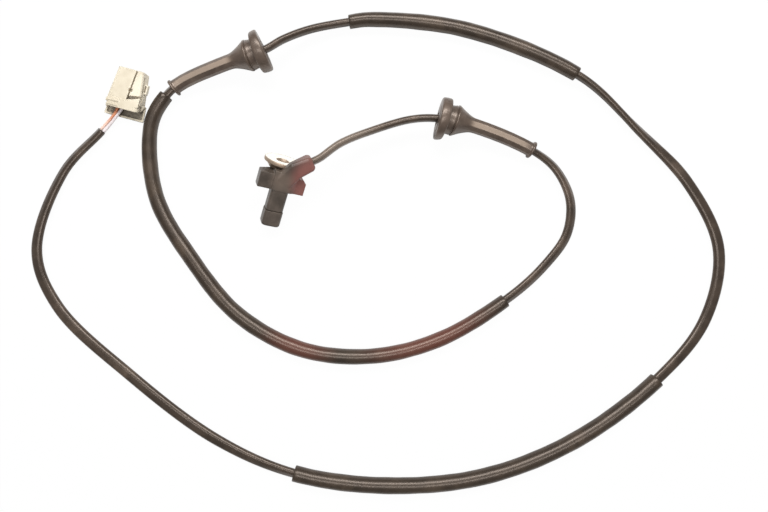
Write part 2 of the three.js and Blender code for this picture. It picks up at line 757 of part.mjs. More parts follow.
// The grommet's profile: flange with an undercut lip, panel groove, rib, cone, tail and collar
function grommetProfile() {
  const bore = CABLE_DIAMETER / 2 + GRIP_ROOM;
  const flange = GROMMET_FLANGE / 2;
  const groove = GROMMET_NECK / 2;
  const rib = GROMMET_RIB / 2;
  const tail = GROMMET_TAIL / 2;
  const tailEnd = GROMMET_TAIL_END / 2;
  const flangeEnd = GROMMET_FLANGE_LENGTH;
  const coneStart = flangeEnd + GROMMET_GROOVE;
  const tailStart = coneStart + 1 + GROMMET_CONE;
  const collarStart = tailStart + GROMMET_TAIL_LENGTH;
  const end = collarStart + GROMMET_COLLAR_LENGTH;
  const outside = [
    [0, bore + 1.2],
    [0, flange - 0.8],
    [0.8, flange],
    [flangeEnd - 0.4, flange],
    [flangeEnd + GROMMET_LIP, flange - 0.5],
    [flangeEnd + GROMMET_LIP - 0.2, flange - 1.3],
    [flangeEnd, flange - 2.6],
    [flangeEnd + 0.2, groove],
    [coneStart - 1.2, groove],
    [coneStart, groove + 0.3],
    [coneStart + 0.1, groove - 0.6],
    [coneStart + 0.8, groove - 0.6],
    [coneStart + 1, rib],
    [coneStart + 2.2, rib - 0.2],
    [tailStart - 4, tail + 1.7],
    [tailStart - 1.5, tail + 0.6],
    [tailStart + 1.5, tail],
  ];
  const stations = 6;
  for (let i = 1; i <= stations; i++) {
    const share = i / stations;
    outside.push([
      THREE.MathUtils.lerp(tailStart, collarStart, share),
      THREE.MathUtils.lerp(tail, tailEnd, share),
    ]);
  }
  outside.push(
    [collarStart, GROMMET_COLLAR / 2 - 0.4],
    [collarStart + 0.5, GROMMET_COLLAR / 2],
    [end - 0.5, GROMMET_COLLAR / 2],
    [end, GROMMET_COLLAR / 2 - 0.5],
    [end, bore],
  );
  const inside = [];
  for (let i = stations; i >= 0; i--) {
    inside.push([THREE.MathUtils.lerp(flangeEnd, collarStart, i / stations), bore]);
  }
  return [...outside, ...inside, [1.5, bore], [0, bore + 1.2]];
}

// Turns the profile about the cable's route, from the flange's face along or against the cable
function grommet(name, face, direction, skew) {
  const geometry = turned(grommetProfile(), GROMMET_SIDES);
  const points = geometry.attributes.position;
  const long = route.getLength();
  const p = new THREE.Vector3();
  const straight = GROMMET_FLANGE_LENGTH + GROMMET_GROOVE;
  for (let i = 0; i < points.count; i++) {
    p.fromBufferAttribute(points, i);
    const at = (face + SOCKET_DEPTH + direction * p.y) / long;
    const along = route.getTangentAt(at).multiplyScalar(direction);
    const side = new THREE.Vector3(along.y, -along.x, 0).normalize();
    const up = new THREE.Vector3().crossVectors(side, along);
    const askew = THREE.MathUtils.clamp(1 - (p.y - straight) / GROMMET_CONE, 0, 1) * Math.tan(skew);
    const bent = route.getPointAt(at).addScaledVector(side, p.x).addScaledVector(up, p.z);
    bent.addScaledVector(along, -askew * p.x);
    points.setXYZ(i, bent.x, bent.y, bent.z);
  }
  geometry.computeVertexNormals();
  place(harness, name, geometry, RUBBER);
}

const [innerSkew, outerSkew] = GROMMET_SKEW.map((angle) => THREE.MathUtils.degToRad(angle));
grommet("grommet_inner", GROMMET_INNER_FACE, 1, innerSkew);
grommet("grommet_outer", GROMMET_OUTER_FACE, -1, outerSkew);

// Connector: the housing's middle is x = 0, its rear edge y = 0 and its underside z = 0

const barrelWidth = WIRE_DIAMETER + 2 * FIT + 2 * TERMINAL_WALL;
const channelWidth = barrelWidth + 2 * FIT;
const terminalFront = HOUSING_LENGTH - CHANNEL_WALL - FIT;
const boxBack = terminalFront - TERMINAL_BOX;
const hoodFloor = HOOD_LENGTH - HOOD_WALL;
const tongueUnder = HOUSING_HEIGHT - TONGUE_THICKNESS;
const terminalPlaces = [
  [TERMINAL_OFFSET - TERMINAL_PITCH / 2, "left"],
  [TERMINAL_OFFSET + TERMINAL_PITCH / 2, "right"],
];

// A flat outline in x and y, thickened from one height to another
function slabUp(shape, low, high) {
  return new THREE.ExtrudeGeometry(shape, {
    depth: high - low,
    bevelEnabled: false,
    curveSegments: 8,
  }).translate(0, 0, low);
}

function housingBlock() {
  const half = HOUSING_HEIGHT / 2;
  return loft([
    ringAcross(hoodFloor, HOUSING_REAR_WIDTH, HOUSING_HEIGHT, HOUSING_CORNER, 0, half),
    ringAcross(HOUSING_LENGTH, HOUSING_FRONT_WIDTH, HOUSING_HEIGHT, HOUSING_CORNER, 0, half),
  ]);
}

// A length of the hood: a wide lower part, or the narrower part that rises to the roof
function hoodPart(from, to, width, height, inset) {
  const corner = inset > 0 ? HOUSING_CORNER : 2 * HOUSING_CORNER;
  const tall = height - 2 * inset;
  return loft([
    ringAcross(from, width - 2 * inset, tall, corner, 0, height / 2),
    ringAcross(to, width - HOOD_WALL - 2 * inset, tall, corner, 0, height / 2),
  ]);
}

const roofHeight = HOUSING_HEIGHT + HOOD_RISE;

function hood() {
  return [
    hoodPart(-HOOD_APRON, HOOD_LENGTH, HOOD_WIDTH, HOOD_SHOULDER, 0),
    hoodPart(-HOOD_WALL, HOOD_LENGTH, ROOF_WIDTH, roofHeight, 0),
  ];
}

function hoodInside() {
  const rear = HOOD_WALL - HOOD_APRON;
  return [
    hoodPart(rear, hoodFloor, HOOD_WIDTH, HOOD_SHOULDER, HOOD_WALL),
    hoodPart(rear, hoodFloor, ROOF_WIDTH, roofHeight, HOOD_WALL),
  ];
}

// What is cut from the hood's roof and sides behind its rear edge, with a swept corner on the right
function hoodOpening() {
  const edge = ROOF_WIDTH / 2 + 1;
  const side = HOOD_WIDTH / 2 + OVERCUT;
  const far = HOOD_APRON + OVERCUT;
  const shape = new THREE.Shape()
    .moveTo(-side, -far)
    .lineTo(side, -far)
    .lineTo(side, HOOD_LENGTH - 1)
    .lineTo(edge, HOOD_LENGTH - 1)
    .quadraticCurveTo(edge - 1, 0, edge - 3.4, 0)
    .lineTo(-side, 0);
  return slabUp(shape, HOOD_APRON_HEIGHT, HOUSING_HEIGHT + HOOD_RISE + OVERCUT);
}

// The roof's raised lip, which sweeps forward on the tongue's side
function hoodLip() {
  const left = -HOUSING_REAR_WIDTH / 2 + 0.4;
  const right = HOUSING_REAR_WIDTH / 2 - 0.6;
  const shape = new THREE.Shape()
    .moveTo(left, HOOD_LENGTH - 3)
    .lineTo(right, HOOD_LENGTH - 3)
    .lineTo(right, HOOD_LIP_FORWARD)
    .quadraticCurveTo(right / 2, HOOD_LENGTH + 0.6, 0, HOOD_LENGTH)
    .quadraticCurveTo(left / 2, HOOD_LENGTH - 0.6, left, HOOD_LENGTH - 0.8);
  return slabUp(shape, tongueUnder, HOUSING_HEIGHT + HOOD_RISE);
}

function hoodRidges() {
  const top = HOUSING_HEIGHT + HOOD_RISE;
  const left = HOUSING_CORNER - ROOF_WIDTH / 2;
  return [0, 1].map((i) =>
    box(
      [left, 0.9 + i * RIDGE_PITCH, top - HOOD_WALL / 2],
      [left + RIDGE_LENGTH, 0.9 + i * RIDGE_PITCH + RIDGE_WIDTH, top + RIDGE_HEIGHT],
    ),
  );
}

function tongueGap() {
  return box(
    [TONGUE_LEFT_REAR, TONGUE_END - 2, tongueUnder - TONGUE_GAP],
    [HOOD_WIDTH, HOUSING_LENGTH - TONGUE_ROOT, tongueUnder],
  );
}

function tongueSlot() {
  const front = HOUSING_LENGTH + OVERCUT;
  const lean = (TONGUE_LEFT_FRONT - TONGUE_LEFT_REAR) / HOUSING_LENGTH;
  const shape = outline([
    [TONGUE_LEFT_REAR, TONGUE_END - 2.6],
    [TONGUE_LEFT_REAR + TONGUE_SLOT, TONGUE_END - 2.6],
    [TONGUE_LEFT_FRONT + TONGUE_SLOT + OVERCUT * lean, front],
    [TONGUE_LEFT_FRONT + OVERCUT * lean, front],
  ]);
  return slabUp(shape, tongueUnder - TONGUE_GAP, HOUSING_HEIGHT + OVERCUT);
}

// The gap behind the tongue's free end: wide beside the slot, narrow at the housing's side
function tongueRelief() {
  const side = HOUSING_REAR_WIDTH / 2 + OVERCUT;
  const shape = new THREE.Shape()
    .moveTo(TONGUE_LEFT_REAR, TONGUE_END - 2.2)
    .quadraticCurveTo(side / 2, TONGUE_END - 2.2, side, HOOD_LIP_FORWARD + 0.2)
    .lineTo(side, HOOD_LIP_FORWARD + 0.6)
    .lineTo(TONGUE_LEFT_REAR + TONGUE_SLOT, TONGUE_END);
  return slabUp(shape, tongueUnder - TONGUE_GAP, HOUSING_HEIGHT + OVERCUT);
}

function tongueNotch() {
  return box(
    [TONGUE_LEFT_REAR, TONGUE_NOTCH_PLACE, tongueUnder - TONGUE_GAP],
    [TONGUE_LEFT_REAR + TONGUE_SLOT + TONGUE_NOTCH, TONGUE_NOTCH_PLACE + TONGUE_NOTCH, HOUSING_HEIGHT + 1],
  );
}

// A slotted guard on the housing's side
const sideAtEar = THREE.MathUtils.lerp(
  HOUSING_REAR_WIDTH / 2,
  HOUSING_FRONT_WIDTH / 2,
  (EAR_START - HOOD_LENGTH) / (HOUSING_LENGTH - HOOD_LENGTH),
);

function ear() {
  return box(
    [sideAtEar - 2, EAR_START, HOUSING_HEIGHT / 3],
    [sideAtEar + EAR_REACH - 1, EAR_START + EAR_LENGTH, tongueUnder - TONGUE_GAP - FIT],
  );
}

function earSlot() {
  const start = sideAtEar + EAR_REACH - 1 - 2 * EAR_SLOT;
  return box(
    [start, EAR_START + EAR_SLOT, 0],
    [start + EAR_SLOT, EAR_START + EAR_LENGTH - EAR_SLOT, HOUSING_HEIGHT],
  );
}

function channels() {
  return terminalPlaces.flatMap(([x]) => {
    const half = channelWidth / 2;
    const entry = ENTRY_WIDTH / 2;
    return [
      box(
        [x - half, hoodFloor - 1, TERMINAL_HEIGHT - half],
        [x + half, HOUSING_LENGTH - CHANNEL_WALL, TERMINAL_HEIGHT + half],
      ),
      box(
        [x - entry, terminalFront, TERMINAL_HEIGHT - entry],
        [x + entry, HOUSING_LENGTH + OVERCUT, TERMINAL_HEIGHT + entry],
      ),
    ];
  });
}

const lockTop = TERMINAL_HEIGHT - barrelWidth / 2 - FIT;

function lockPocket() {
  return box(
    [TERMINAL_OFFSET - LOCK_WIDTH / 2 - FIT, LOCK_PLACE - FIT, -OVERCUT],
    [TERMINAL_OFFSET + LOCK_WIDTH / 2 + FIT, LOCK_PLACE + LOCK_LENGTH + FIT, lockTop],
  );
}

place(
  connector,
  "connector_housing",
  carved(
    joined(housingBlock(), ...hood(), hoodLip(), ...hoodRidges(), ear()),
    ...hoodInside(),
    hoodOpening(),
    tongueGap(),
    tongueSlot(),
    tongueRelief(),
    tongueNotch(),
    earSlot(),
    ...channels(),
    lockPocket(),
  ),
  PALE_PLASTIC,
);

place(
  connector,
  "terminal_lock",
  box(
    [TERMINAL_OFFSET - LOCK_WIDTH / 2, LOCK_PLACE, FIT],
    [TERMINAL_OFFSET + LOCK_WIDTH / 2, LOCK_PLACE + LOCK_LENGTH, lockTop],
  ),
  LOCK_PLASTIC,
);

// A socket terminal: a box for the mating pin, and an open barrel folded up round the wire
function terminal(x) {
  const half = barrelWidth / 2;
  const low = TERMINAL_HEIGHT - half;
  const inner = half - TERMINAL_WALL;
  const body = box([x - half, boxBack, low], [x + half, terminalFront, low + barrelWidth]);
  const barrel = box(
    [x - half, boxBack - TERMINAL_BARREL, low],
    [x + half, boxBack + 1, low + 0.75 * barrelWidth],
  );
  const pinRoom = box(
    [x - inner, boxBack + 1, TERMINAL_HEIGHT - inner],
    [x + inner, terminalFront + OVERCUT, TERMINAL_HEIGHT + inner],
  );
  const wireRoom = box(
    [x - inner, boxBack - TERMINAL_BARREL - OVERCUT, TERMINAL_HEIGHT - inner],
    [x + inner, boxBack - 1, low + 2 * barrelWidth],
  );
  return carved(joined(body, barrel), pinRoom, wireRoom);
}

connector.rotation.z = CONNECTOR_TURN;
connector.position.set(...CONNECTOR_PLACE, 0);
connector.updateMatrixWorld(true);

// The two wires part behind the jacket's cut end and run level into their terminals
const jacketEnd = connector.worldToLocal(route.getPointAt(1));
const jacketRun = route.getTangentAt(1).applyAxisAngle(new THREE.Vector3(0, 0, 1), -CONNECTOR_TURN);
const jacketSide = new THREE.Vector3(jacketRun.y, -jacketRun.x, 0).normalize();

for (const [x, name] of terminalPlaces) {
  place(connector, `terminal_${name}`, terminal(x), TINNED);
  const aside = (name === "left" ? -1 : 1) * (WIRE_DIAMETER / 2 + FIT);
  const start = jacketEnd.clone().addScaledVector(jacketRun, FIT).addScaledVector(jacketSide, aside);
  const wire = new THREE.CatmullRomCurve3([
    start,
    start.clone().addScaledVector(jacketRun, 2),
    new THREE.Vector3(WIRE_ENTRY[0] + aside, WIRE_ENTRY[1], TERMINAL_HEIGHT - 0.1),
    new THREE.Vector3(x, hoodFloor - 0.4, TERMINAL_HEIGHT),
    new THREE.Vector3(x, boxBack - 1 - FIT, TERMINAL_HEIGHT),
  ]);
  place(
    connector,
    name === "left" ? "wire_orange" : "wire_pale",
    tube(wire, WIRE_DIAMETER / 2, 8, 14),
    name === "left" ? ORANGE : PALE,
  );
}

export default part;
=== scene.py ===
# %% [markdown]
# # A wheel speed sensor with its cable, laid out in a spiral on a bench
#
# The object is a moulded sensor head, 1.8 m of twin-core cable with two rubber grommets and three lengths
# of sleeving, and a pale plastic connector. The engineering model is loaded first and stays where it is.
# This lesson dresses it: each soft or moulded piece gets a finer mesh in the same place, and every piece
# gets a material made of nodes.

import math

import bmesh
import bpy
import numpy as np
from mathutils import Matrix, Vector


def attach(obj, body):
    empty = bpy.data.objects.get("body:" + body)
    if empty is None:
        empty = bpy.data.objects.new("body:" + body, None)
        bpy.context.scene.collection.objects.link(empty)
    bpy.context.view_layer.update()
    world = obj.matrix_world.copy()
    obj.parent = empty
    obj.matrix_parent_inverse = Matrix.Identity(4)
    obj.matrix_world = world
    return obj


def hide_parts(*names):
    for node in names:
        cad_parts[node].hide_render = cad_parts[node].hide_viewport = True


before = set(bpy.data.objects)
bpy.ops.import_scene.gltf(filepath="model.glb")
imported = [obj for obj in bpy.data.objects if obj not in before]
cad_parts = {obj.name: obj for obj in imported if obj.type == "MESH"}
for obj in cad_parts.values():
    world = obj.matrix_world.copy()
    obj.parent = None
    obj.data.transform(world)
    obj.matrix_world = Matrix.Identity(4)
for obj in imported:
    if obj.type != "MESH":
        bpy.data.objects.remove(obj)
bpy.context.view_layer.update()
scene = bpy.context.scene
MM = 0.001
print("nodes:", len(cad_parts))

# %% [markdown]
# ## Camera
#
# The picture was taken from straight above, from about 0.4 m. Blender's camera looks along its own -Z, so
# one that is not turned at all already looks down. It is only turned about the vertical until the picture's
# upper edge points the right way, and the focal length follows from the width of bench that it must see.

# %% Camera above the bench
EYE = Vector((0.0790, -0.0178, 0.410))
PICTURE_TURN = math.radians(20.5)
VIEW_WIDTH = 0.5222

camera = bpy.data.objects.new("camera", bpy.data.cameras.new("camera"))
camera.data.lens = camera.data.sensor_width * EYE.z / VIEW_WIDTH
camera.data.clip_start = 0.01
camera.location = EYE
camera.rotation_euler = (0, 0, PICTURE_TURN)
scene.collection.objects.link(camera)
scene.camera = camera
print("focal length, mm:", round(camera.data.lens, 2))

# %% [markdown]
# ## The cable's route
#
# Everything on the cable follows one line: the jacket itself, the sleeves and the grommets. A curve object
# could hold it, but plain points are easier to measure. The points below are where the cable's middle
# passes, in metres, from inside the head's neck to the jacket's cut end.

# %% Points of the route
ROUTE = [
    (0.01004, 0.01829, 0.02103), (0.01436, 0.02328, 0.01988), (0.0177, 0.0270, 0.0191),
    (0.0267, 0.0411, 0.0168), (0.0427, 0.0564, 0.0144), (0.0640, 0.0723, 0.0140),
    (0.0803, 0.0791, 0.0143), (0.1018, 0.0836, 0.0113), (0.1448, 0.0836, 0.0061),
    (0.1658, 0.0781, 0.0032), (0.1833, 0.0616, 0.0032), (0.1893, 0.0396, 0.0032),
    (0.1838, 0.0171, 0.0032), (0.1693, -0.0114, 0.0054), (0.1348, -0.0559, 0.0054),
    (0.0953, -0.0834, 0.0054), (0.0488, -0.0959, 0.0054), (0.0008, -0.0889, 0.0054),
    (-0.0412, -0.0649, 0.0054), (-0.0782, -0.0339, 0.0054), (-0.0982, 0.0101, 0.0054),
    (-0.0957, 0.0311, 0.0054), (-0.0892, 0.0426, 0.0061), (-0.0662, 0.0631, 0.0104),
    (-0.0417, 0.0816, 0.0143), (-0.0332, 0.0926, 0.0128), (-0.0197, 0.1066, 0.0082),
    (0.0018, 0.1209, 0.0054), (0.0148, 0.1276, 0.0054), (0.0768, 0.1436, 0.0054),
    (0.1603, 0.1411, 0.0054), (0.2098, 0.1216, 0.0032), (0.2538, 0.1001, 0.0032),
    (0.2888, 0.0656, 0.0032), (0.2968, 0.0176, 0.0032), (0.2798, -0.0309, 0.0054),
    (0.2423, -0.0889, 0.0054), (0.1943, -0.1324, 0.0054), (0.1363, -0.1609, 0.0054),
    (0.0743, -0.1754, 0.0054), (0.0168, -0.1734, 0.0032), (-0.0537, -0.1529, 0.0032),
    (-0.1157, -0.1264, 0.0032), (-0.1417, -0.0964, 0.0032), (-0.1432, -0.0409, 0.0032),
    (-0.1287, -0.0054, 0.0032),
]
EXIT = ROUTE[1]
print("points of the route:", len(ROUTE))

# %% [markdown]
# ## A smooth line that can be measured
#
# The real cable bends without kinks. A centripetal Catmull-Rom curve goes through all the points without
# loops or overshoot. It is then measured, so that a place on the cable can be given by its distance from
# the head.

# %% Smooth and measured line
def smooth_through(points, per_span=40):
    """Points on the centripetal Catmull-Rom curve through the given ones."""
    p = np.array(points, dtype=float)
    p = np.vstack([2 * p[0] - p[1], p, 2 * p[-1] - p[-2]])
    out = []
    for a, b, c, d in zip(p[:-3], p[1:-2], p[2:-1], p[3:]):
        k0, k1, k2 = (math.sqrt(np.linalg.norm(v)) for v in (b - a, c - b, d - c))
        m0 = ((b - a) / k0 - (c - a) / (k0 + k1) + (c - b) / k1) * k1
        m1 = ((c - b) / k1 - (d - b) / (k1 + k2) + (d - c) / k2) * k1
        for t in np.arange(per_span) / per_span:
            bend = -3 * b + 3 * c - 2 * m0 - m1
            out.append(b + m0 * t + bend * t**2 + (2 * b - 2 * c + m0 + m1) * t**3)
    return np.array(out + [p[-2]])


class Line:
    """A measured line: where it is, and which way it runs, at a distance along it."""

    def __init__(self, points, start=None):
        self.points = points
        steps = np.linalg.norm(np.diff(points, axis=0), axis=1)
        self.marks = np.concatenate([[0], np.cumsum(steps)])
        if start is not None:
            nearest = np.linalg.norm(points - np.array(start), axis=1).argmin()
            self.marks -= self.marks[nearest]
        self.runs = np.gradient(points, self.marks, axis=0)

    def at(self, s):
        point = np.array([np.interp(s, self.marks, c) for c in self.points.T])
        run = np.array([np.interp(s, self.marks, c) for c in self.runs.T])
        run /= np.linalg.norm(run)
        side = np.array([run[1], -run[0], 0.0])
        side /= np.linalg.norm(side)
        return point, run, side, np.cross(side, run)


route = Line(smooth_through(ROUTE), start=EXIT)
CABLE_LENGTH = route.marks[-1]
print("cable from the head to the jacket's end, m:", round(CABLE_LENGTH, 4))

# %% [markdown]
# ## One helper for everything that is swept
#
# The cable, the sleeves, the grommets and the wires are all a flat outline carried along a line. Blender's
# own curve bevel could do the plain ones, but here the outline twists and changes size on the way, so the
# rings of points are laid one by one and joined with faces.

# %% Mesh helpers
def add_mesh(name, points, faces, smooth=True):
    mesh = bpy.data.meshes.new(name)
    mesh.from_pydata([tuple(p) for p in points], [], faces)
    mesh.validate()
    work = bmesh.new()
    work.from_mesh(mesh)
    bmesh.ops.recalc_face_normals(work, faces=work.faces)
    work.to_mesh(mesh)
    work.free()
    mesh.polygons.foreach_set("use_smooth", [smooth] * len(mesh.polygons))
    piece = bpy.data.objects.new(name, mesh)
    scene.collection.objects.link(piece)
    return piece


def skin(name, rings, joined_ends=False):
    """Faces between rings of equally many points, with caps or with the last ring joined to the first."""
    count = len(rings[0])
    points = np.concatenate(rings)
    last = len(rings) - 1
    faces = []
    for r in range(last + (1 if joined_ends else 0)):
        a, b = r * count, ((r + 1) % len(rings)) * count
        for i in range(count):
            j = (i + 1) % count
            faces.append((a + i, a + j, b + j, b + i))
    if not joined_ends:
        faces.append(tuple(range(count)))
        faces.append(tuple(last * count + i for i in range(count)))
    return add_mesh(name, points, faces)


def sweep(line, distances, outline):
    """Rings of outline(s), a list of (side, up) offsets, stood across the line."""
    rings = []
    for s in distances:
        point, run, side, up = line.at(s)
        flat = np.array(outline(s))
        rings.append(point + flat[:, :1] * side + flat[:, 1:] * up)
    return rings


print("mesh helpers ready")

# %% [markdown]
# ## Cable
#
# Two cores side by side make the jacket an oval with a shallow waist. Such a cable is never laid quite
# flat: it turns slowly about its own length, so from above it looks narrow in one stretch and wide in the
# next. A curve's bevel can't change its turn so freely, so the jacket is swept. The turn is given in
# degrees at a few distances in millimetres. Where the cable lies on the bench, it is raised when it stands
# on its edge.

# %% Twin-core cable
CABLE_WIDE = 7.7 * MM
CABLE_THIN = 5.1 * MM
WAIST_DEPTH = 0.10
WAIST_REACH = 0.34
SQUARENESS = 0.9
ON_THE_BENCH = 0.16
BENCH_GAP = 0.15 * MM
CABLE_START = route.marks[0] + 0.3 * MM
CABLE_STEP = 1.6 * MM


def keyed(keys):
    """A value that runs straight between given (distance, value) pairs."""
    where, value = np.array(keys, dtype=float).T
    return lambda s: float(np.interp(s, where, value))


turn = keyed([
    (-7, 88), (85, 88), (160, 66), (210, 36), (285, 50), (650, 50), (735, 84), (784, 84), (947, 84),
    (985, 68), (1035, 8), (1150, 0), (1200, 20), (1463, 42), (1530, 6), (1640, 0), (1740, 32), (1800, 50),
])


def cable_outline(s, count=28):
    angle = np.arange(count) * 2 * math.pi / count
    waist = 1 - WAIST_DEPTH * np.exp(-((np.cos(angle) / WAIST_REACH) ** 2))
    x = CABLE_WIDE / 2 * np.sign(np.cos(angle)) * np.abs(np.cos(angle)) ** SQUARENESS
    y = CABLE_THIN / 2 * np.sin(angle) * waist
    twist = math.radians(turn(s * 1000))
    c, n = math.cos(twist), math.sin(twist)
    x, y = x * c - y * n, x * n + y * c
    middle_height = route.at(s)[0][2]
    raise_by = max(0.0, -y.min() + BENCH_GAP - middle_height) if s > ON_THE_BENCH else 0.0
    return list(zip(x, y + raise_by))


steps = np.append(np.arange(CABLE_START, CABLE_LENGTH, CABLE_STEP), CABLE_LENGTH)
cable_rings = sweep(route, steps, cable_outline)
cable = skin("cable_jacket", cable_rings)
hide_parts("cable")
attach(cable, "root")
print("cable faces:", len(cable.data.polygons))

# %% [markdown]
# ## Sleeving
#
# Three lengths of plain flexible tube protect the cable. A cut tube shows its wall at the end, so the
# outline is carried out along the outside and back along the inside. A solidify modifier could give the
# wall too, but not the slightly rounded lips. Slight swells keep it from looking like a machined pipe.

# %% Sleeves
SLEEVES = {
    "sleeve_inner": (0.286, 0.649, [(285, 9.4), (330, 10.0), (450, 10.6), (560, 10.2), (649, 9.2)]),
    "sleeve_upper": (0.784, 0.9435, [(784, 9.0), (830, 10.0), (900, 10.1), (947, 9.4)]),
    "sleeve_lower": (1.200, 1.463, [(1200, 10.2), (1260, 10.6), (1400, 10.8), (1463, 10.6)]),
}
SLEEVE_HEIGHT = 10.2 * MM
SLEEVE_WALL = 0.9 * MM
SLEEVE_STEP = 2.5 * MM
LIP_LENGTH = 0.3 * MM
LIP_INSET = 0.25 * MM
SWELLS = ((0.012, 190, 0), (0.008, 431, 1))


def sleeve(name, start, end, widths):
    width = keyed(widths)

    def outline(s, inset, count=36):
        angle = np.arange(count) * 2 * math.pi / count
        swell = 1 + sum(depth * math.sin(s * pace + shift) for depth, pace, shift in SWELLS)
        across = width(s * 1000) * MM / 2 * swell - inset
        tall = SLEEVE_HEIGHT / 2 - inset
        return list(zip(across * np.cos(angle), tall * np.sin(angle)))

    along = np.linspace(start, end, int((end - start) / SLEEVE_STEP))
    outside = sweep(route, [start, start + LIP_LENGTH, *along[1:-1], end - LIP_LENGTH, end],
                    lambda s: outline(s, LIP_INSET if s in (start, end) else 0.0))
    inside = sweep(route, list(along[::-1]), lambda s: outline(s, SLEEVE_WALL))
    tube = skin(name + "_tube", outside + inside, joined_ends=True)
    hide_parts(name)
    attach(tube, "root")
    return tube


sleeves = [sleeve(name, *facts) for name, facts in SLEEVES.items()]
print("sleeves:", [s.name for s in sleeves])

# %% [markdown]
# ## Grommets
#
# A grommet seals the hole where the cable passes through the body. It is round, so one half outline is
# enough: distance from the flange's face, and radius. Turning the outline about the cable's own route,
# instead of about a straight axis, lets the long tail follow the bend of the cable. The tail is not quite
# round: narrow flats run along it, and each of them catches the light as one long stripe.

# %% Grommets turned about the cable
GROMMET = [
    (0.0, 4.4), (0.0, 8.6), (0.35, 9.0), (0.35, 12.4), (0.55, 13.2), (1.1, 13.7), (2.0, 13.8), (3.4, 13.75),
    (4.2, 13.6), (4.9, 13.55), (5.5, 13.4), (5.9, 13.15), (6.0, 12.85), (5.8, 12.55), (5.0, 12.1),
    (4.5, 11.4), (4.4, 10.4), (4.45, 9.8), (4.8, 9.55), (5.6, 9.5), (8.6, 9.5), (9.4, 9.6), (9.8, 9.8),
    (10.05, 9.8), (10.2, 9.5), (10.3, 9.15), (10.6, 9.0), (10.85, 9.15), (10.95, 9.7), (11.2, 10.1),
    (11.6, 10.2), (12.1, 10.15), (12.7, 9.8), (13.8, 9.2), (15.8, 8.1), (17.6, 7.2), (19.4, 6.4),
    (20.8, 5.85), (22.0, 5.45), (23.2, 5.15), (24.6, 4.98), (27.1, 4.92), (32.5, 4.9), (38.8, 4.86),
    (45.2, 4.82), (51.6, 4.78), (59.0, 4.74), (64.9, 4.7), (66.1, 4.72), (66.5, 4.85), (66.65, 5.3),
    (66.8, 5.7), (67.15, 5.88), (67.75, 5.88), (68.1, 5.72), (68.3, 5.4), (68.3, 4.1),
]
BORE_RADIUS = 4.0
BORE = [(along, BORE_RADIUS) for along in np.linspace(66.0, 3.0, 14)]
SKEW_FADES = (10.2, 21.2)
FLATS = 9
FLATS_TURN = 0.2
FLATS_FADE = ((19.0, 24.0, 64.5, 66.0), (0.0, 1.0, 1.0, 0.0))
GROMMETS = {"grommet_inner": (0.0886, 1, 9), "grommet_outer": (0.7238, -1, 0)}


def grommet(name, face, direction, skew, sides=72):
    """The outline turned about the route from a flange's face, towards +1 or -1, askew by degrees."""
    angle = np.arange(sides) * 2 * math.pi / sides
    rings = []
    for along, radius in GROMMET + BORE:
        point, run, side, up = route.at(face + direction * along * MM)
        from_middle = (angle + FLATS_TURN) % (2 * math.pi / FLATS) - math.pi / FLATS
        flats = np.cos(math.pi / FLATS) / np.cos(from_middle)
        round_one = 1 + (flats - 1) * np.interp(along, *FLATS_FADE)
        x, y = radius * MM * np.cos(angle) * round_one, radius * MM * np.sin(angle) * round_one
        askew = np.interp(along, SKEW_FADES, (math.tan(math.radians(skew)), 0.0))
        rings.append(point + x[:, None] * (side - askew * direction * run) + y[:, None] * up)
    body = skin(name + "_moulding", rings, joined_ends=True)
    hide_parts(name)
    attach(body, "root")
    return body


grommets = [grommet(name, *facts) for name, facts in GROMMETS.items()]
print("grommet faces:", len(grommets[0].data.polygons))

# %% [markdown]
# ## Connector
#
# The connector's solid already has its hood, latch tongue and openings, but a solid of flat faces looks
# cut, not moulded. A bevel would do for a plain box, and it fails where many faces meet. A voxel remesh
# gives even small faces instead, and a few rounds of smoothing then round every edge a little, as a mould
# does.

# %% A moulded skin over a solid
SMOOTHING_ROUNDS = 3


def node_object(node):
    """The Blender object of a node of the engineering model."""
    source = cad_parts[node]
    return bpy.data.objects[source] if isinstance(source, str) else source


def moulded(name, node, voxel):
    """A copy of a node's solid, with its edges slightly rounded."""
    mesh = node_object(node).data.copy()
    mesh.materials.clear()
    piece = bpy.data.objects.new(name, mesh)
    scene.collection.objects.link(piece)
    remesh = piece.modifiers.new("even faces", "REMESH")
    remesh.mode = "VOXEL"
    remesh.voxel_size = voxel
    soften = piece.modifiers.new("round edges", "SMOOTH")
    soften.factor = 0.5
    soften.iterations = SMOOTHING_ROUNDS
    graph = bpy.context.evaluated_depsgraph_get()
    made = bpy.data.meshes.new_from_object(piece.evaluated_get(graph))
    piece.modifiers.clear()
    piece.data = made
    made.polygons.foreach_set("use_smooth", [True] * len(made.polygons))
    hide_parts(node)
    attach(piece, "root")
    return piece


housing = moulded("connector_shell", "connector_housing", 0.22 * MM)
print("housing faces:", len(housing.data.polygons))

# %% [markdown]
# ## The two wires
#
# Past the jacket's cut end two thin insulated wires run on into the connector, one orange and one pale. A
# bevelled curve would do, but the sweep that made the cable is already here, and a plain round ring is all
# it needs.

# %% The two wires
WIRES = {
    "wire_orange": [(-0.12974, -0.00465, 0.0032), (-0.12898, -0.0028, 0.0032), (-0.12350, 0.01050, 0.0049),
                    (-0.12429, 0.01638, 0.005), (-0.12531, 0.02703, 0.005)],
    "wire_pale": [(-0.12743, -0.0056, 0.0032), (-0.12667, -0.00375, 0.0032), (-0.12125, 0.01070, 0.0049),
                  (-0.11991, 0.0168, 0.005), (-0.12093, 0.02745, 0.005)],
}
WIRE_DIAMETER = 1.9 * MM


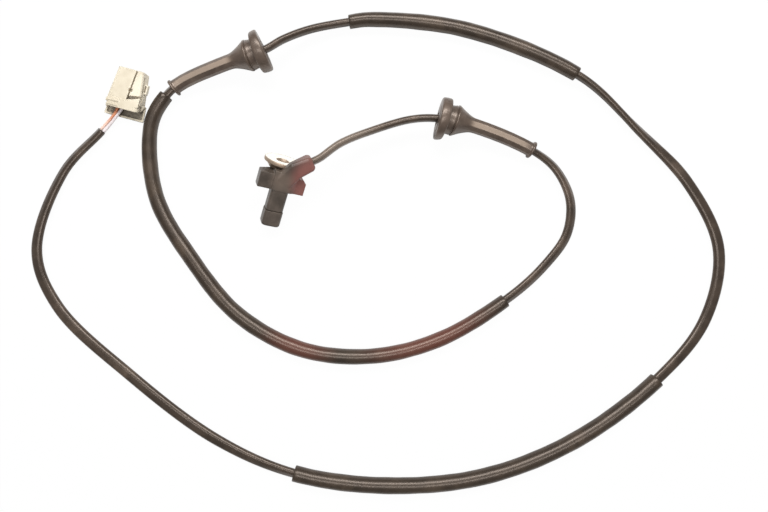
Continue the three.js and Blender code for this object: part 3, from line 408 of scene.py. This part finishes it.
def wire(name, points, sides=16, rings=60):
    line = Line(smooth_through(points, 12))
    angle = np.arange(sides) * 2 * math.pi / sides
    ring = list(zip(WIRE_DIAMETER / 2 * np.cos(angle), WIRE_DIAMETER / 2 * np.sin(angle)))
    body = skin(name + "_skin", sweep(line, np.linspace(0, line.marks[-1], rings), lambda s: ring))
    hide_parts(name)
    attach(body, "root")
    return body


wires = [wire(name, points) for name, points in WIRES.items()]
print("wires:", [w.name for w in wires])

# %% [markdown]
# ## Sensor head
#
# The head is one black moulding with a slightly wider cap on its probe. Its many small faces could be
# rounded one by one, but both pieces get the same moulded skin as the connector, a little coarser, since
# they are larger.

# %% Head and cap
body = moulded("head_moulding", "sensor_body", 0.30 * MM)
cap = moulded("cap_moulding", "probe_cap", 0.25 * MM)
print("head faces:", len(body.data.polygons))

# %% [markdown]
# ## Flanged bush
#
# The bolt goes through a flanged metal bush that was turned on a lathe, so it is a half outline turned
# about the bolt's axis. A screw modifier could turn it too, but rings of points also take the tilt of the
# head, which leans on its probe and rolls to one side.

# %% Flanged bush, turned about its bore
HEAD_LEAN = math.radians(20.54443)
HEAD_ROLL = math.radians(26)
HEAD_PLACE = Vector((-0.69957, 4.14465, 16.51343)) * MM
turned_head = Matrix.Rotation(HEAD_LEAN, 4, "X") @ Matrix.Rotation(HEAD_ROLL, 4, "Y")
head_frame = Matrix.Translation(HEAD_PLACE) @ turned_head
BOLT_AXIS = Vector((-0.4, 0, -10.4)) * MM
BUSH = [
    (-5.3, 4.1), (-5.3, 4.95), (-5.1, 5.1), (5.6, 5.1), (5.6, 7.6), (5.8, 7.9), (7.2, 9.0), (8.9, 10.4),
    (9.1, 10.9), (9.2, 11.5), (9.4, 11.95), (9.9, 12.1), (11.2, 12.1), (11.7, 12.0), (11.95, 11.75),
    (12.0, 11.4), (11.9, 11.1), (11.65, 10.8), (11.54, 10.4), (11.5, 8.5), (11.48, 6.2), (11.55, 5.6),
    (11.5, 5.1), (11.3, 4.6), (11.05, 4.1), (7.0, 4.1), (2.0, 4.1),
]


def turned(name, outline, sides=96):
    """An outline of (along, radius) pairs in millimetres, turned about the bolt's axis."""
    angle = np.arange(sides) * 2 * math.pi / sides
    rings = []
    for y, radius in outline:
        ring = [head_frame @ (BOLT_AXIS + Vector((radius * math.cos(a), y, radius * math.sin(a))) * MM)
                for a in angle]
        rings.append(np.array([tuple(p) for p in ring]))
    return skin(name, rings, joined_ends=True)


bush = turned("bush_turning", BUSH)
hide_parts("mounting_bush")
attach(bush, "root")
print("bush faces:", len(bush.data.polygons))

# %% [markdown]
# ## Materials
#
# Every finish starts from the principled shader. Noise in the object's own coordinates moves the colour a
# little between two tones, varies the roughness, and gives a fine grain through a bump node. That is what
# separates handled rubber, dusty plastic and turned metal from plain paint. Image textures could do it too,
# but nodes need no unwrapping and no files.

# %% A finish from nodes
HOLLOW_SAMPLES = 8


def linear(color):
    """A colour written in 0 to 255, as the light values that a shader works with."""
    return [c / 12.92 if c <= 0.04045 else ((c + 0.055) / 1.055) ** 2.4 for c in (v / 255 for v in color)]


class Finish:
    """A node material, with short ways to add the nodes that every finish here uses."""

    def __init__(self, name):
        self.material = bpy.data.materials.new(name)
        self.material.use_nodes = True
        self.nodes = self.material.node_tree.nodes
        self.links = self.material.node_tree.links
        self.shader = self.nodes["Principled BSDF"]
        self.where = self.nodes.new("ShaderNodeTexCoord").outputs["Object"]

    def set(self, **values):
        for key, value in values.items():
            self.shader.inputs[key.replace("_", " ")].default_value = value
        return self

    def noise(self, size_mm, detail=4, rough=0.55):
        node = self.nodes.new("ShaderNodeTexNoise")
        node.inputs["Scale"].default_value = 1000 / size_mm
        node.inputs["Detail"].default_value = detail
        node.inputs["Roughness"].default_value = rough
        self.links.new(self.where, node.inputs["Vector"])
        return node.outputs["Fac"]

    def ramp(self, source, *stops):
        """A colour from a value, between two (place, colour) stops."""
        node = self.nodes.new("ShaderNodeValToRGB")
        for element, (place, color) in zip(node.color_ramp.elements, stops):
            element.position, element.color = place, color
        self.links.new(source, node.inputs["Fac"])
        return node.outputs["Color"]

    def tones(self, source, dark, light, low=0.35, high=0.65):
        return self.ramp(source, (low, (*linear(dark), 1)), (high, (*linear(light), 1)))

    def mask(self, source, low, high):
        return self.ramp(source, (low, (0, 0, 0, 1)), (high, (1, 1, 1, 1)))

    def mix(self, factor, a, b):
        node = self.nodes.new("ShaderNodeMix")
        node.data_type = "RGBA"
        self.links.new(factor, node.inputs["Factor"])
        for socket, value in ((node.inputs[6], a), (node.inputs[7], b)):
            if isinstance(value, (tuple, list)):
                socket.default_value = (*linear(value), 1)
            else:
                self.links.new(value, socket)
        return node.outputs[2]

    def near(self, middle, inner, outer):
        """A soft spot: 1 within one distance of a place, 0 beyond another, in metres."""
        reach = self.nodes.new("ShaderNodeVectorMath")
        reach.operation = "DISTANCE"
        reach.inputs[1].default_value = middle
        self.links.new(self.where, reach.inputs[0])
        fade = self.nodes.new("ShaderNodeMapRange")
        fade.interpolation_type = "SMOOTHSTEP"
        for key, value in (("From Min", inner), ("From Max", outer), ("To Min", 1.0), ("To Max", 0.0)):
            fade.inputs[key].default_value = value
        self.links.new(reach.outputs["Value"], fade.inputs["Value"])
        return fade.outputs["Result"]

    def toward(self, axis):
        """1 on faces that look along an axis, less on those that look away from it."""
        node = self.nodes.new("ShaderNodeVectorMath")
        node.operation = "DOT_PRODUCT"
        node.inputs[1].default_value = axis
        normal = self.nodes.new("ShaderNodeTexCoord").outputs["Normal"]
        self.links.new(normal, node.inputs[0])
        return node.outputs["Value"]

    def hollows(self, reach_mm, low, high):
        """1 in corners and cavities, 0 on open faces."""
        node = self.nodes.new("ShaderNodeAmbientOcclusion")
        node.inputs["Distance"].default_value = reach_mm * MM
        node.samples = HOLLOW_SAMPLES
        return self.ramp(node.outputs["AO"], (low, (1, 1, 1, 1)), (high, (0, 0, 0, 1)))

    def times(self, source, share):
        node = self.nodes.new("ShaderNodeMath")
        node.operation = "MULTIPLY"
        if isinstance(share, float):
            node.inputs[1].default_value = share
        else:
            self.links.new(share, node.inputs[1])
        self.links.new(source, node.inputs[0])
        return node.outputs[0]

    def color(self, source):
        self.links.new(source, self.shader.inputs["Base Color"])
        return self

    def roughness(self, source, low, high):
        node = self.nodes.new("ShaderNodeMapRange")
        node.inputs["To Min"].default_value = low
        node.inputs["To Max"].default_value = high
        self.links.new(source, node.inputs["Value"])
        self.links.new(node.outputs["Result"], self.shader.inputs["Roughness"])
        return self

    def grain(self, *layers):
        """Bumps, each from a source and a height in millimetres."""
        normal = None
        for source, height in layers:
            node = self.nodes.new("ShaderNodeBump")
            node.inputs["Distance"].default_value = height * MM
            node.inputs["Strength"].default_value = 1.0
            self.links.new(source, node.inputs["Height"])
            if normal:
                self.links.new(normal, node.inputs["Normal"])
            normal = node.outputs["Normal"]
        self.links.new(normal, self.shader.inputs["Normal"])
        return self


print("finish class ready")

# %% [markdown]
# ## Worn rubber and plastic, with painted light and shade
#
# One recipe serves every rubber and plastic: two tones and dusty patches, with each further mark as one
# more mix on top. A blush is a soft (tint, middle, inner, outer, share) spot, which is a tint on some
# pieces and a painted highlight on others. A lighter tint on the sides that face up, near some places, is a
# painted highlight. The darker tints for hollows are painted shade, each with its reach in millimetres, its
# share, and where it starts and ends, and with a place where it doesn't cover the whole piece.

# %% Recipe for a worn polymer, with painted light and shade
DUST_EDGE = (0.515, 0.85)
PATCH_SCALE = 2.3
GLOSS_SCALE = 0.7
LIT_TOP_SHARE = 0.6
FINE_GRAIN = 0.45
COARSE_GRAIN = 3.5


def polymer_with_wear_and_painted_light(name, dark, light, dust, size=9.0, low=0.35, high=0.6, grain=0.03,
                 hollow_shade=(), blush=(), lit_tops=None):
    f = Finish(name)
    base = f.tones(f.noise(size, 5), dark, light)
    patches = f.mask(f.noise(size * PATCH_SCALE, 6, 0.65), *DUST_EDGE)
    base = f.mix(patches, base, dust)
    for tint, middle, inner, outer, share in blush:
        base = f.mix(f.times(f.near(middle, inner, outer), share), base, tint)
    # A lighter tint on faces that look up, near given places: a painted highlight.
    if lit_tops:
        tint, spots, least_up, most_up = lit_tops
        upper = f.times(f.mask(f.toward((0, 0, 1)), least_up, most_up), LIT_TOP_SHARE)
        for spot in spots:
            base = f.mix(f.times(upper, f.near(*spot)), base, tint)
    # Darker tints in hollows and corners: painted shade.
    for tint, reach_mm, share, least, most, *spot in hollow_shade:
        painted_shade = f.times(f.hollows(reach_mm, least, most), share)
        if spot:
            painted_shade = f.times(painted_shade, f.near(*spot))
        base = f.mix(painted_shade, base, tint)
    f.color(base)
    f.roughness(f.noise(size * GLOSS_SCALE, 5, 0.6), low, high)
    f.grain((f.noise(FINE_GRAIN, 3, 0.6), grain), (f.noise(COARSE_GRAIN, 3), grain * 3))
    return f


print("recipe ready")

# %% [markdown]
# ## Places and tints of wear, and of painted light and shade
#
# Wear and light aren't the same all over. The head and the first sleeve have a rusty bloom, which over the
# head's neck is also a painted highlight. The tops of the grommets' tails and of the head's hub, the cable
# beside the head, the orange wire's end and one side of the connector get painted highlights, and the
# connector's hollows and rear get painted shade. A painted image could hold all that, but a few soft spots
# at places in metres need no unwrapping.

# %% Places and tints of wear, and of painted light and shade
# A reddish tint on the head, lighter than the black plastic, which over the neck is a painted highlight.
HEAD_TINT_AND_NECK_HIGHLIGHT = [((136, 86, 79), (0.020, 0.014, 0.013), 0.0135, 0.0225, 0.85)]
SLEEVE_BLUSH = [
    ((112, 60, 50), (0.124, -0.056, 0.005), 0.012, 0.056, 0.55),
    ((112, 60, 50), (0.046, -0.097, 0.005), 0.006, 0.032, 0.48),
]
# A pale tint on the cable beside the head: a painted highlight.
CABLE_HIGHLIGHT_BY_HEAD = [((176, 160, 146), (0.0267, 0.0411, 0.0168), 0.008, 0.034, 0.3)]
# A lighter tint on the upward faces of the head's hub: a painted highlight.
HUB_TOP_HIGHLIGHT = [((0.0000, 0.0060, 0.0200), 0.003, 0.011)]
# A lighter tint on the upward flats of the grommets' tails: painted highlights.
TAIL_TOP_HIGHLIGHTS = [((0.121, 0.0865, 0.010), 0.018, 0.026), ((-0.075, 0.053, 0.009), 0.018, 0.026)]
HOOD_REAR = (-0.1175, 0.0110, 0.0030)
# Darker tints in the connector's corners and in its rear cavity: painted shade.
PALE_HOLLOW_SHADE = [
    ((176, 162, 138), 2.5, 0.5, 0.3, 0.85),
    ((96, 86, 76), 12.0, 0.93, 0.35, 0.80, HOOD_REAR, 0.009, 0.0155),
]
# A paler tint on one sloping side of the connector: a painted highlight.
PALE_SIDE_HIGHLIGHT = [((234, 225, 205), (-0.1070, 0.0290, 0.0100), 0.007, 0.014, 0.6)]
# A pale tint at the orange wire's end by the jacket: a painted highlight.
WIRE_END_HIGHLIGHT = [((238, 208, 194), (-0.1297, -0.0046, 0.0032), 0.002, 0.015, 0.9)]
WARM = (1.0, 0.85, 0.74, 1.0)
print("spots of blush:", len(HEAD_TINT_AND_NECK_HIGHLIGHT + SLEEVE_BLUSH + CABLE_HIGHLIGHT_BY_HEAD + PALE_SIDE_HIGHLIGHT + WIRE_END_HIGHLIGHT))

# %% [markdown]
# ## Black rubber and plastic
#
# None of the black pieces is really black. All are a dark warm brown, and they differ in how they shine:
# the grommets shine most, the sleeves are the darkest, and the head is the dullest. So they share one
# recipe, with tones and roughness of their own.

# %% Black rubber and plastic
rubber = polymer_with_wear_and_painted_light("grommet_rubber", (66, 55, 48), (88, 75, 66), (112, 97, 86), low=0.27, high=0.42,
                      grain=0.018, lit_tops=((172, 154, 138), TAIL_TOP_HIGHLIGHTS, 0.80, 0.98))
rubber.set(Specular_IOR_Level=0.9, Specular_Tint=WARM)
sleeving = polymer_with_wear_and_painted_light("sleeving", (42, 35, 29), (57, 48, 40), (86, 73, 61), low=0.26, high=0.38,
                        grain=0.012)
red_sleeving = polymer_with_wear_and_painted_light("sleeving_inner", (42, 35, 29), (57, 48, 40), (86, 73, 61), low=0.26,
                            high=0.38, grain=0.012, blush=SLEEVE_BLUSH)
jacket = polymer_with_wear_and_painted_light("jacket_rubber", (48, 40, 34), (64, 54, 46), (98, 84, 73), low=0.24, high=0.38,
                      grain=0.014, blush=CABLE_HIGHLIGHT_BY_HEAD)
for dark_one in (sleeving, red_sleeving, jacket):
    dark_one.set(Specular_IOR_Level=0.62, Specular_Tint=WARM)
# On the head: painted shade in its corners, a painted highlight on the hub's top, and a reddish tint.
head_plastic = polymer_with_wear_and_painted_light("head_plastic", (65, 57, 50), (86, 76, 68), (110, 98, 88), low=0.32, high=0.5,
                            blush=HEAD_TINT_AND_NECK_HIGHLIGHT, lit_tops=((124, 108, 96), HUB_TOP_HIGHLIGHT, 0.2, 0.8),
                            hollow_shade=[((48, 42, 38), 2.0, 0.4, 0.3, 0.85)])
cap_plastic = polymer_with_wear_and_painted_light("cap_plastic", (66, 58, 51), (85, 75, 67), (108, 97, 87), low=0.36, high=0.5)
print("dark polymers made")

# %% [markdown]
# ## Pale plastic, wires and the parts inside
#
# The connector is an ivory plastic that has turned a little yellow, with painted shade in its hollows and a
# painted highlight on one side. The wires have coloured insulation, and the orange one has a painted
# highlight at its end. Nobody sees the parts inside the head, but the model may be opened or cut, so they
# get finishes of their own too. The same recipe makes all of them.

# %% Pale plastic, wires and the parts inside
pale = polymer_with_wear_and_painted_light("pale_plastic", (202, 191, 169), (218, 208, 187), (192, 180, 157), grain=0.02,
                    hollow_shade=PALE_HOLLOW_SHADE, blush=PALE_SIDE_HIGHLIGHT)
lock = polymer_with_wear_and_painted_light("lock_plastic", (214, 200, 176), (228, 216, 194), (200, 188, 168), grain=0.02)
orange = polymer_with_wear_and_painted_light("orange_wire", (202, 122, 82), (222, 148, 106), (214, 170, 140), size=4.0,
                      blush=WIRE_END_HIGHLIGHT)
pale_wire = polymer_with_wear_and_painted_light("pale_wire", (214, 204, 206), (232, 222, 222), (204, 192, 190), size=4.0)
epoxy = polymer_with_wear_and_painted_light("chip_epoxy", (34, 33, 37), (48, 46, 50), (60, 58, 60), size=3.0)
carrier = polymer_with_wear_and_painted_light("carrier_plastic", (132, 124, 112), (150, 142, 128), (122, 114, 104), size=4.0)
print("pale polymers made")

# %% [markdown]
# ## Metal
#
# Bare metal is only a little uneven in tone and roughness, so it needs a shorter recipe. The bush is
# duller. Its face that the bolt presses on keeps the light tones, its other sides get a darker tint as
# painted shade, and its bore gets a darker tint as painted shade in the hollow. The way a face looks, and
# the hollow it lies in, tell those three apart.

# %% Metals
LIT_FACE_RAMP = (0.72, 0.92)
BORE_SHADE_RAMP = (0.25, 0.7)


def metal(name, dark, light, low=0.2, high=0.4, share=1.0, facing=None, hollow_shade=None):
    f = Finish(name).set(Metallic=share)
    base = f.tones(f.noise(5.0, 6, 0.7), dark, light, 0.3, 0.75)
    if facing:
        axis, shaded_sides_tint = facing
        # Faces that look away from the axis take a darker tint: painted shade.
        base = f.mix(f.mask(f.toward(axis), *LIT_FACE_RAMP), shaded_sides_tint, base)
    if hollow_shade:
        tint, reach_mm, most = hollow_shade
        # A darker tint in hollows: painted shade.
        base = f.mix(f.times(f.hollows(reach_mm, *BORE_SHADE_RAMP), most), base, tint)
    f.color(base)
    f.roughness(f.noise(1.6, 5), low, high)
    f.grain((f.noise(0.3, 4), 0.012), (f.noise(2.2, 2), 0.03))
    return f


bush_metal = metal("bush_metal", (240, 235, 225), (255, 252, 246), low=0.38, high=0.55, share=0.55,
                   facing=((0, 0.9364, 0.3509), (166, 146, 127)), hollow_shade=((110, 94, 80), 7.0, 0.6))
tinned = metal("tinned_metal", (186, 182, 172), (212, 208, 198))
copper = metal("copper_alloy", (184, 122, 76), (212, 150, 100))
magnet = metal("magnet", (100, 99, 97), (124, 122, 118), low=0.35, high=0.55)
print("metals made")

# %% [markdown]
# ## Which piece wears which finish
#
# The new pieces come first. The engineering nodes get the same finishes, also those that a new piece hides,
# so that nothing is left grey wherever the model is used.

# %% Put the finishes on
FINISHES = {
    rubber: grommets, sleeving: sleeves[1:], red_sleeving: sleeves[:1], jacket: [cable],
    head_plastic: [body], cap_plastic: [cap],
    pale: [housing], orange: [wires[0]], pale_wire: [wires[1]], bush_metal: [bush],
}
NODE_FINISHES = {
    "chip_carrier": carrier, "sensing_chip": epoxy, "bias_magnet": magnet, "lead_left": tinned,
    "lead_right": tinned, "crimp_left": copper, "crimp_right": copper, "core_left": orange,
    "core_right": pale_wire, "terminal_lock": lock, "terminal_left": tinned, "terminal_right": tinned,
    "sensor_body": head_plastic, "probe_cap": cap_plastic, "mounting_bush": bush_metal, "cable": jacket,
    "grommet_inner": rubber, "grommet_outer": rubber, "sleeve_inner": red_sleeving,
    "sleeve_upper": sleeving, "sleeve_lower": sleeving, "wire_orange": orange, "wire_pale": pale_wire,
    "connector_housing": pale,
}


def wear(piece, finish):
    if not piece.material_slots:
        piece.data.materials.append(finish.material)
    for place in piece.material_slots:
        place.material = finish.material


for finish, pieces in FINISHES.items():
    for piece in pieces:
        wear(piece, finish)
for node, finish in NODE_FINISHES.items():
    wear(node_object(node), finish)
print("pieces finished:", sum(map(len, FINISHES.values())) + len(NODE_FINISHES))

# %% [markdown]
# ## Floor
#
# The picture's ground is plain white. More light would bleach the object too, so the white comes from the
# floor's own material. It stays a real surface that catches soft shadows, but to the camera most of it is a
# flat white, and the ground looks the same everywhere.

# %% White floor
FLOOR_GREY = (0.86, 0.86, 0.86, 1)
GLOW_SHARE = 0.97
FLOOR_DROP = 0.2 * MM
HALF = 3

corners = [(-HALF, -HALF, 0), (HALF, -HALF, 0), (HALF, HALF, 0), (-HALF, HALF, 0)]
floor = add_mesh("floor", corners, [(0, 1, 2, 3)], smooth=False)
floor.location.z = -FLOOR_DROP
ground = bpy.data.materials.new("ground")
ground.use_nodes = True
tree = ground.node_tree
tree.nodes.clear()
matt = tree.nodes.new("ShaderNodeBsdfDiffuse")
matt.inputs["Color"].default_value = FLOOR_GREY
glow = tree.nodes.new("ShaderNodeEmission")
glow.inputs["Strength"].default_value = 1.0
seen = tree.nodes.new("ShaderNodeLightPath")
share = tree.nodes.new("ShaderNodeMath")
share.operation = "MULTIPLY"
share.inputs[1].default_value = GLOW_SHARE
blend = tree.nodes.new("ShaderNodeMixShader")
out = tree.nodes.new("ShaderNodeOutputMaterial")
tree.links.new(seen.outputs["Is Camera Ray"], share.inputs[0])
tree.links.new(share.outputs[0], blend.inputs["Fac"])
tree.links.new(matt.outputs[0], blend.inputs[1])
tree.links.new(glow.outputs[0], blend.inputs[2])
tree.links.new(blend.outputs[0], out.inputs["Surface"])
floor.data.materials.append(ground)
print("floor at z =", floor.location.z)

# %% [markdown]
# ## World and lamps
#
# The highlights on the cable run its whole length, so the lamps are long and far away. They stand where the
# studio's lamps must have been: one beyond the upper edge of the picture and a weaker one overhead. A dim
# white world fills the rest, and only the camera sees it at full strength.

# %% World and lamps
WORLD_FILL = 0.32
WORLD_SEEN = 1.0
WORLD_TINT = (1.0, 0.985, 0.965, 1)
AIM = Vector((0.08, -0.02, 0))

world = bpy.data.worlds.new("studio")
scene.world = world
world.use_nodes = True
tree = world.node_tree
tree.nodes.clear()
seen = tree.nodes.new("ShaderNodeLightPath")
strength = tree.nodes.new("ShaderNodeMapRange")
strength.inputs["To Min"].default_value = WORLD_FILL
strength.inputs["To Max"].default_value = WORLD_SEEN
shine = tree.nodes.new("ShaderNodeBackground")
shine.inputs["Color"].default_value = WORLD_TINT
out = tree.nodes.new("ShaderNodeOutputWorld")
tree.links.new(seen.outputs["Is Camera Ray"], strength.inputs["Value"])
tree.links.new(strength.outputs["Result"], shine.inputs["Strength"])
tree.links.new(shine.outputs["Background"], out.inputs["Surface"])


def lamp(name, place, size, power):
    data = bpy.data.lights.new(name, "AREA")
    data.shape = "RECTANGLE"
    data.size, data.size_y = size
    data.energy = power
    piece = bpy.data.objects.new(name, data)
    piece.location = place
    piece.rotation_euler = (AIM - Vector(place)).to_track_quat("-Z", "Y").to_euler()
    scene.collection.objects.link(piece)
    return piece


lamps = [
    lamp("upper_lamp", (-0.147, 0.587, 0.89), (1.1, 0.3), 12),
    lamp("overhead_lamp", (0.138, -0.175, 1.19), (0.9, 0.22), 5),
]
scene.view_settings.view_transform = "Standard"
print("lamps:", [l.name for l in lamps])
